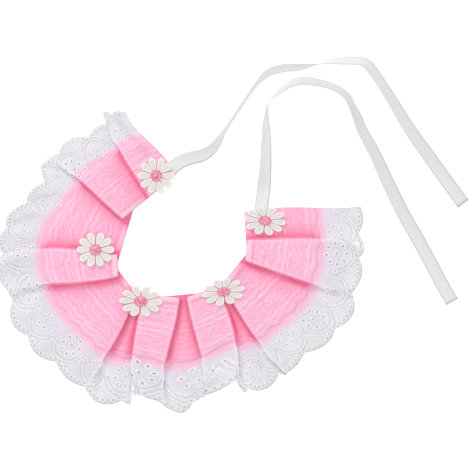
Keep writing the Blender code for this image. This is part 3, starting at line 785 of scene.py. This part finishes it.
class Shader:
    """A Principled material with short calls for its nodes."""

    def __init__(self, name, roughness, sheen=0.0, specular=0.25):
        self.material = bpy.data.materials.new(name)
        self.material.use_nodes = True
        self.tree = self.material.node_tree
        self.bsdf = self.tree.nodes["Principled BSDF"]
        self.bsdf.inputs["Roughness"].default_value = roughness
        self.bsdf.inputs["Sheen Weight"].default_value = sheen
        self.bsdf.inputs["Specular IOR Level"].default_value = specular

    def node(self, kind, inputs, output=0, **settings):
        """One output of a new node."""
        node = self.tree.nodes.new("ShaderNode" + kind)
        for key, value in settings.items():
            setattr(node, key, value)
        for key, value in inputs.items():
            self.link(value, node.inputs[key])
        return Value(self, node.outputs[output])

    def link(self, value, socket):
        if isinstance(value, Value):
            self.tree.links.new(value.socket, socket)
        else:
            socket.default_value = value

    def math(self, operation, a, b=0.0):
        return self.node("Math", {0: a, 1: b}, operation=operation)

    def sine(self, value):
        return self.math("SINE", value)

    def attribute(self, name, part="Fac"):
        return self.node("Attribute", {}, part, attribute_name=name)

    def place(self):
        return self.node("TexCoord", {}, "Object")

    def split(self, vector):
        parts = self.node("SeparateXYZ", {0: vector}).socket.node.outputs
        return [Value(self, part) for part in parts]

    def noise(self, scale, detail=2.0, vector=None, part="Fac"):
        inputs = {"Scale": scale, "Detail": detail, "Vector": vector or self.place()}
        return self.node("TexNoise", inputs, part)

    def stretched(self, vector, along, deep):
        """The vector with its two parts scaled apart."""
        return self.node("VectorMath", {0: vector, 1: (along, deep, 1.0)}, operation="MULTIPLY")

    def cells(self, scale, width, vector=None):
        """1 along a network of wandering threads, 0 between them."""
        vector = vector or self.place()
        inputs = {0: self.noise(scale * 0.6, 2.0, vector, "Color"), 1: (1.6 / scale,) * 3, 2: vector}
        shifted = self.node("VectorMath", inputs, operation="MULTIPLY_ADD")
        away = self.node("TexVoronoi", {"Scale": scale, "Vector": shifted}, "Distance",
                         feature="DISTANCE_TO_EDGE")
        return 1.0 - self.ramp(away, 0.02, width)

    def wrinkles(self, vector, pitch, wander, size):
        """Lines across the vector's second part, a pitch apart, that wander by up to half of wander."""
        line = self.split(vector)[1] + self.noise(1 / size, 2.0, vector) * wander
        return self.sine(line * (math.tau / pitch))

    def weave(self, pitch):
        """The height of a fine net in the plan of the cloth, its pitch in millimetres."""
        x, y, _ = self.split(self.place())
        turn = math.tau / (pitch * MM) * 0.7071
        return self.sine((x + y) * turn) * self.sine((x - y) * turn)

    def ramp(self, value, low, high):
        """A smooth rise from 0 at low to 1 at high."""
        inputs = {"Value": value, "From Min": low, "From Max": high}
        return self.node("MapRange", inputs, interpolation_type="SMOOTHSTEP")

    def mix(self, share, a, b):
        return self.node("Mix", {0: share, 6: a, 7: b}, 2, data_type="RGBA")

    def layers(self, base, *over):
        """The base colour with each (share, colour) laid over it in turn."""
        for share, colour in over:
            base = self.mix(share, base, colour)
        return base

    def finish(self, colour, height=None, distance=0.0):
        """Ends the material with its colour and its bump, whose distance is in metres."""
        self.link(colour, self.bsdf.inputs["Base Color"])
        if height:
            bump = self.node("Bump", {"Height": height, "Distance": distance, "Strength": 1.0})
            self.link(bump, self.bsdf.inputs["Normal"])
        return self.material


def rgb(red, green, blue, dim=DIM):
    """A colour given by its sRGB levels of 0 to 255, dimmed to suit the studio light."""
    def linear(level):
        c = level / 255
        return dim * (c / 12.92 if c <= 0.04045 else ((c + 0.055) / 1.055) ** 2.4)
    return (linear(red), linear(green), linear(blue), 1.0)


def rose(red, green, blue):
    return rgb(red, green, blue, PINK_DIM)


def pink_material():
    s = Shader("pink lace", 0.85, 0.2)
    flat = s.attribute("flat", "Vector")
    soft = s.attribute("soft")
    net = s.weave(1.25)
    grain = s.noise(1000.0, 3.0) - 0.5
    # Tight wrinkles in some places, loose ones in the others.
    where = s.ramp(s.noise(0.10, 1.0, flat), 0.38, 0.62)
    wave = (s.wrinkles(flat, 1.9, 9.0, 9.0) * (where * 0.55)
            + s.wrinkles(flat, 3.1, 14.0, 14.0) * (0.5 - where * 0.35))
    loops = s.cells(0.75, 0.3, s.stretched(flat, 0.6, 1.0))
    # Warped diamonds that come and go.
    along, deep, _ = s.split(flat)
    shift = s.noise(0.13, 2.0, flat) * 7.0
    bands = [s.math("ABSOLUTE", s.sine((way + shift) * (math.pi / 4.4)))
             for way in (along + deep, along - deep)]
    diamonds = s.ramp(s.math("MAXIMUM", *bands), 0.86, 1.0)
    diamonds = diamonds * s.ramp(s.noise(0.055, 1.0, flat), 0.42, 0.56)
    # Darker in the wrinkles' troughs and lighter on their ridges, painted shade and highlight, mixed with
    # random grain.
    base = s.mix(s.ramp(wave + grain * 2.2, -0.8, 0.9), rose(246, 151, 188), rose(247, 188, 215))
    base = s.layers(
        base,
        (s.ramp(s.noise(75.0, 2.0), 0.38, 0.62) * 0.55, rose(247, 161, 196)),
        (s.ramp(net, 0.1, 0.9) * 0.22, rose(247, 201, 223)),
        (loops * 0.34, rose(247, 209, 227)),
        (diamonds * 0.28, rose(247, 213, 231)),
        # Painted highlight on the wrinkles' ridges.
        (s.ramp(wave, 0.30, 0.55) * 0.35, rose(247, 213, 230)),
        # Lighter along the ribs and the neck hem band, and along the crests as a painted highlight.
        (s.attribute("rib_and_crest_highlight") * 0.7, rose(247, 207, 225)),
        # Painted shade: deep pink inside the pleats and beside their crests.
        (s.attribute("tone") * 0.62, rose(255, 109, 156)),
        (s.attribute("deepest_shade") * 0.6, rose(246, 82, 132)),
        (s.ramp(soft, 0.3, 1.0) * 0.6, rose(249, 185, 214)),
        # Painted shade under the neck hem's edge and beside the ribs.
        (s.attribute("hem_and_groove_shade") * 0.6, rose(238, 119, 160)))
    height = net * 0.3 + grain * 1.2 + loops * 0.4 + diamonds * 0.8 + wave
    return s.finish(base, height * (1.0 - soft), 0.00014)


def eyelet_material():
    s = Shader("white eyelet lace", 0.85, 0.1)
    x, y, v = s.split(s.attribute("pat", "Vector"))
    loops = s.cells(420.0, 0.3)
    # Satin-stitched ribs that lie round each flower, towards the scallops.
    turns = s.math("DIVIDE", x, REPEAT)
    off = (turns - s.math("ROUND", turns)) * REPEAT
    rise = y - FLOWER_IN
    far = s.math("SQRT", off * off + rise * rise)
    ribs = s.sine((far + s.noise(160.0, 1.0) * 2.6) * (math.tau / 2.7))
    ribs = ribs * s.ramp(far, 9.0, 10.5) * (1.0 - s.ramp(far, 15.0, 18.0))
    ribs = ribs * (1.0 - s.ramp(y, 12.0, 19.0)) * s.ramp(y, -1.5, 2.5)
    base = s.mix(s.ramp(s.noise(70.0, 3.0), 0.3, 0.7), rgb(215, 214, 220), rgb(228, 228, 232))
    # Lilac near the pink lace, which shows through at its hem; lighter inside and over the pleats, on
    # their steep walls and along their crests: painted light against the shade there.
    base = s.layers(
        base,
        ((1.0 - s.ramp(v, 0.72, 0.90)) * 0.8, rgb(226, 214, 234)),
        (loops * 0.35, rgb(240, 240, 243)),
        # Painted light: lighter inside the pleats and beside their crests, against the shade there.
        (s.attribute("tone") * 0.5, rgb(233, 228, 238, 0.79)),
        # Painted light on steep walls, which get less light.
        (s.attribute("steep"), rgb(253, 249, 255, 0.97)),
        ((1.0 - s.ramp(v, 0.65, 0.75)) * 0.95, rgb(254, 186, 214)),
        (s.attribute("ring") * 0.8, rgb(246, 246, 249)),
        # Painted shade: grey in the eyelets' wells, round their open holes.
        (s.ramp(s.attribute("well"), 0.0, 0.5) * 0.9, rgb(150, 150, 155)),
        (s.ramp(ribs, -0.1, 0.8) * 0.5, rgb(246, 246, 248)),
        # Painted shade between the satin-stitched ribs.
        (s.ramp(ribs * -1.0, 0.0, 1.0) * 0.28, rgb(204, 204, 210)),
        # Painted highlight along the crests.
        (s.attribute("crest") * 0.5, rgb(246, 246, 249)))
    height = ribs * 0.8 + s.noise(800.0, 3.0) * 0.8 + s.weave(0.9) * 0.25 + loops * 0.6
    return s.finish(base, height, 0.0002)


def daisy_material():
    s = Shader("daisy embroidery", 0.7, 0.2)
    rim = s.attribute("rim")
    # Painted highlight and shade: each petal is lighter on its raised rim and darker inside, by the shine
    # of its loops.
    base = s.mix(s.ramp(rim, 0.2, 0.8), rgb(220, 214, 210), rgb(244, 240, 237))
    base = s.mix(s.ramp(s.noise(900.0, 2.0), 0.4, 0.65) * 0.4, base, rgb(240, 237, 234))
    return s.finish(base, s.noise(1500.0, 2.0) + rim * 0.2, 0.00022)


def button_material():
    s = Shader("daisy centre", 0.75, 0.2)
    speckle = s.noise(1100.0, 2.0)
    base = s.mix(s.ramp(speckle, 0.42, 0.6), rgb(212, 104, 136), rgb(246, 180, 192))
    return s.finish(base, speckle, 0.0004)


def thread_material():
    s = Shader("pink thread", 0.6, 0.2)
    base = s.mix(s.noise(400.0, 1.0), rgb(240, 140, 175), rgb(250, 165, 195))
    return s.finish(base, s.noise(3000.0, 1.0), 0.0001)


def satin_material():
    s = Shader("white satin", 0.42, 0.1, 0.5)
    threads = s.sine(s.attribute("along") * (math.tau / 0.5))
    edge = s.ramp(s.math("ABSOLUTE", s.attribute("across")), 0.80, 0.94)
    # Lighter where the ribbon stands on edge and gets less light.
    base = s.mix(s.attribute("standing"), rgb(222, 222, 223), rgb(250, 250, 251, 0.82))
    base = s.mix(edge * 0.5, base, rgb(208, 208, 210))
    return s.finish(base, threads * 0.3 + edge * -0.6, 0.00008)


def daisy_piece(spec, materials):
    """Ten padded petals with raised rims round a stitched button."""
    turn = math.radians(spec["turn"])
    cut = np.random.default_rng(int(spec["x"] * 10) % 97)
    points, rims, faces, slots = [], [], [], []

    def placed(x, y, height):
        dx, dy = turned(x, y, turn)
        back = spec["z"] + spec["slope"][0] * dx + spec["slope"][1] * dy
        return (spec["x"] + dx, spec["y"] + dy, back + height)

    def closed(loops, shines, slot):
        """Adds a stack of loops with flat ends, and one shine for each loop."""
        base, count = len(points), len(loops[0])
        for loop, shine in zip(loops, shines):
            points.extend(placed(*p) for p in loop)
            rims.extend([shine] * count)
        faces.extend(stack_faces(base, len(loops), count))
        slots.extend([slot] * (len(faces) - len(slots)))

    half_x, half_y = spec["across"] / 2, spec["along"] / 2
    for k in range(PETALS):
        angle = math.tau * k / PETALS + 0.02 * cut.standard_normal()
        longer = 1.0 + 0.025 * cut.standard_normal()
        # The petal's outline in its own plane, from root to tip and back.
        outline = []
        for i in range(PETAL_POINTS):
            t = math.tau * i / PETAL_POINTS
            along = 0.18 + 0.41 * (1 - math.cos(t)) * min(longer, 1.0)
            width = PETAL_WIDTH * min(1.0, max(0.0, (along - 0.15) / 0.52)) ** 0.75
            width *= math.sqrt(max(0.0, 1 - max(0.0, (along - 0.76) / 0.24) ** 2))
            at_end = i in (0, PETAL_POINTS // 2)
            outline.append((along, 0.0 if at_end else math.copysign(width, math.sin(t))))
        loops = []
        for inset, height, _ in PETAL_LOOPS:
            loop = []
            for along, width in outline:
                a = 0.60 + (along - 0.60) * (1 - inset * (0.8 if inset > 0.3 else 0.55))
                x, y = turned(a, width * (1 - inset), angle)
                loop.append((x * half_x, y * half_y, height * (0.86 + 0.14 * min(1.0, a))))
            loops.append(loop)
        closed(loops, [shine for _, _, shine in PETAL_LOOPS], 0)
    loops = []
    for share, height in BUTTON_LOOPS:
        loop = []
        for i in range(BUTTON_POINTS):
            t = math.tau * i / BUTTON_POINTS
            out = share * (1 + 0.04 * math.sin(5 * t + spec["x"]))
            loop.append((out * half_x * math.cos(t), out * half_y * math.sin(t), height))
        loops.append(loop)
    closed(loops, [0.0] * len(loops), 1)
    # A stitched outline round the button.
    for i in range(BUTTON_STITCHES):
        t = math.tau * i / BUTTON_STITCHES
        cx, cy = 0.285 * half_x * math.cos(t), 0.285 * half_y * math.sin(t)
        loops = []
        for size, height in BUTTON_STITCH:
            loop = []
            for j in range(SIDES):
                b = math.tau * j / SIDES
                dx, dy = turned(0.62 * size * math.cos(b), 0.34 * size * math.sin(b), t + BUTTON_LEAN)
                loop.append((cx + dx, cy + dy, height))
            loops.append(loop)
        closed(loops, [0.0] * len(loops), 2)
    item = mesh_object(spec["name"] + "_flower", points, faces, materials, dict(rim=rims), slots)
    dress(item, spec["name"])


def smooth_route(route, steps):
    rows = np.array([(*point, 0.0)[:4] for point in route])
    held = np.vstack([2 * rows[0] - rows[1], rows, 2 * rows[-1] - rows[-2]])
    made = []
    for i in range(1, len(held) - 2):
        p0, p1, p2, p3 = held[i - 1 : i + 3]
        for k in range(steps):
            t = k / steps
            made.append(0.5 * (2 * p1 + (p2 - p0) * t + (2 * p0 - 5 * p1 + 4 * p2 - p3) * t * t
                               + (3 * p1 - p0 - 3 * p2 + p3) * t ** 3))
    made.append(rows[-1])
    return np.array(made)


def ribbon_piece(name, node, route, material):
    line = smooth_route(route, 9)
    shares = np.linspace(-1, 1, 9)
    points, marks, path = [], [], []
    gone = 0.0
    for i, (x, y, roll, height) in enumerate(line):
        before, after = line[max(0, i - 1)], line[min(len(line) - 1, i + 1)]
        run = (after - before)[:2]
        side = np.array([-run[1], run[0]]) / np.linalg.norm(run)
        a = math.radians(roll)
        reach = RIBBON_WIDTH / 2 * abs(math.sin(a)) + CAD_RIBBON_WALL / 2 * abs(math.cos(a))
        middle = np.array([x, y, max(height, reach + RIBBON_CLEAR)])
        if path:
            gone += np.linalg.norm(middle - path[-1])
        path.append(middle)
        width = np.array([*(side * math.cos(a)), math.sin(a)])
        thick = np.array([*(-side * math.sin(a)), math.cos(a)])
        shaded = math.sin(a) ** 1.3 * (1 - 0.5 * smooth((roll - 75) / 30)) if 0 < roll < 180 else 0.0
        for sign in (-1, 1):
            for share in shares[::sign]:
                cup = 0.25 * (share * share - 0.4) * math.sin(gone / 37.0 + 1.0)
                wall = RIBBON_WALL / 2 * (1.25 if abs(share) > 0.8 else 1.0)
                points.append(middle + width * share * RIBBON_WIDTH / 2 + thick * (cup + sign * -wall))
                marks.append((share, gone, shaded))
    faces = stack_faces(0, len(line), 2 * len(shares))
    looks = dict(zip(("across", "along", "standing"), np.array(marks).T))
    item = dress(mesh_object(name, points, faces, [material], looks), node)
    path = [tuple((p + (NECK_X, NECK_Y, 0.0)) * MM) for p in path]


def neck_stitches(material):
    """The running stitch along the turned neck edge, on what shows of it."""
    points, faces = [], []
    along = cloth.columns(0.5, 0.5, 0.05)
    place, _ = cloth.at(along, 0.05)
    gone = gone_along(place)
    v = np.full(3, STITCH_DEPTH)
    start = 1.2
    while start < gone[-1] - 2.5:
        n = np.interp([start, start + STITCH_LENGTH / 2, start + STITCH_LENGTH], gone, along)
        start += STITCH_PITCH
        if hidden_and_shaded(n, v).max() > 0.9:
            continue
        at, normal = cloth.at(n, v)
        base = len(points)
        lift = relief(n, v, at) + PINK_LIFT + PINK_WALL / 2 + NECK_HEM_RAISE
        centre = at + normal * lift[:, None]
        way = centre[2] - centre[0]
        way /= np.linalg.norm(way)
        for k, size, shift in STITCH_RINGS:
            side = np.cross(normal[k], way)
            for j in range(6):
                b = math.tau * j / 6
                spoke = side * math.cos(b) + normal[k] * math.sin(b)
                points.append(centre[k] + way * shift + spoke * size)
        faces += stack_faces(base, len(STITCH_RINGS), 6)
    return dress(mesh_object("neck_stitches", points, faces, [material]))


def camera():
    data = bpy.data.cameras.new("camera")
    data.sensor_width = 36.0
    data.lens = 36.0 * CAMERA_UP / VIEW_WIDTH
    data.clip_end = 20.0
    item = add_object("camera", data)
    item.location = (VIEW_X, VIEW_Y, CAMERA_UP + BIB_Z)
    bpy.context.scene.camera = item


def floor():
    s = Shader("floor", 0.9)
    material = s.finish(s.mix(s.noise(3.0, 1.0), rgb(252, 252, 252, 1.0), rgb(254, 254, 254, 1.0)))
    mesh = bpy.data.meshes.new("floor")
    corners = [(x, y, FLOOR_Z) for x, y in ((-3, -3), (3, -3), (3, 3), (-3, 3))]
    mesh.from_pydata(corners, [], [(0, 1, 2, 3)])
    mesh.materials.append(material)
    add_object("floor", mesh)


def lights():
    """Even light from all round, and two lamps, as (name, place, size, watts)."""
    world = bpy.data.worlds.new("world")
    world.use_nodes = True
    background = world.node_tree.nodes["Background"]
    background.inputs[0].default_value = (1.0, 1.0, 1.0, 1.0)
    background.inputs[1].default_value = 0.475
    bpy.context.scene.world = world
    for name, place, size, watts in (("top", (VIEW_X, VIEW_Y, 1.7), 0.12, 19.2),
                                     ("side", (-0.55, 1.15, 1.2), 0.6, 11.3)):
        data = bpy.data.lights.new(name, "AREA")
        data.shape = "DISK"
        data.size = size
        data.energy = watts
        item = add_object(name, data)
        item.location = place
        item.rotation_euler = (-item.location).to_track_quat("-Z", "Y").to_euler()


bpy.context.scene.view_settings.view_transform = "Standard"
camera()
satin = satin_material()
ribbon_piece("tie_outer", "tie_ribbon_outer", OUTER_RIBBON, satin)
ribbon_piece("tie_inner", "tie_ribbon_inner", INNER_RIBBON, satin)

white = dress(eyelet_cloth(eyelet_material()), "eyelet_flounce")
pink = dress(pink_cloth(pink_material()), "pink_lace")
thread = thread_material()
stitches = neck_stitches(thread)

cream, centre = daisy_material(), button_material()
for spec in DAISIES:
    daisy_piece(spec, [cream, centre, thread])

floor()
lights()
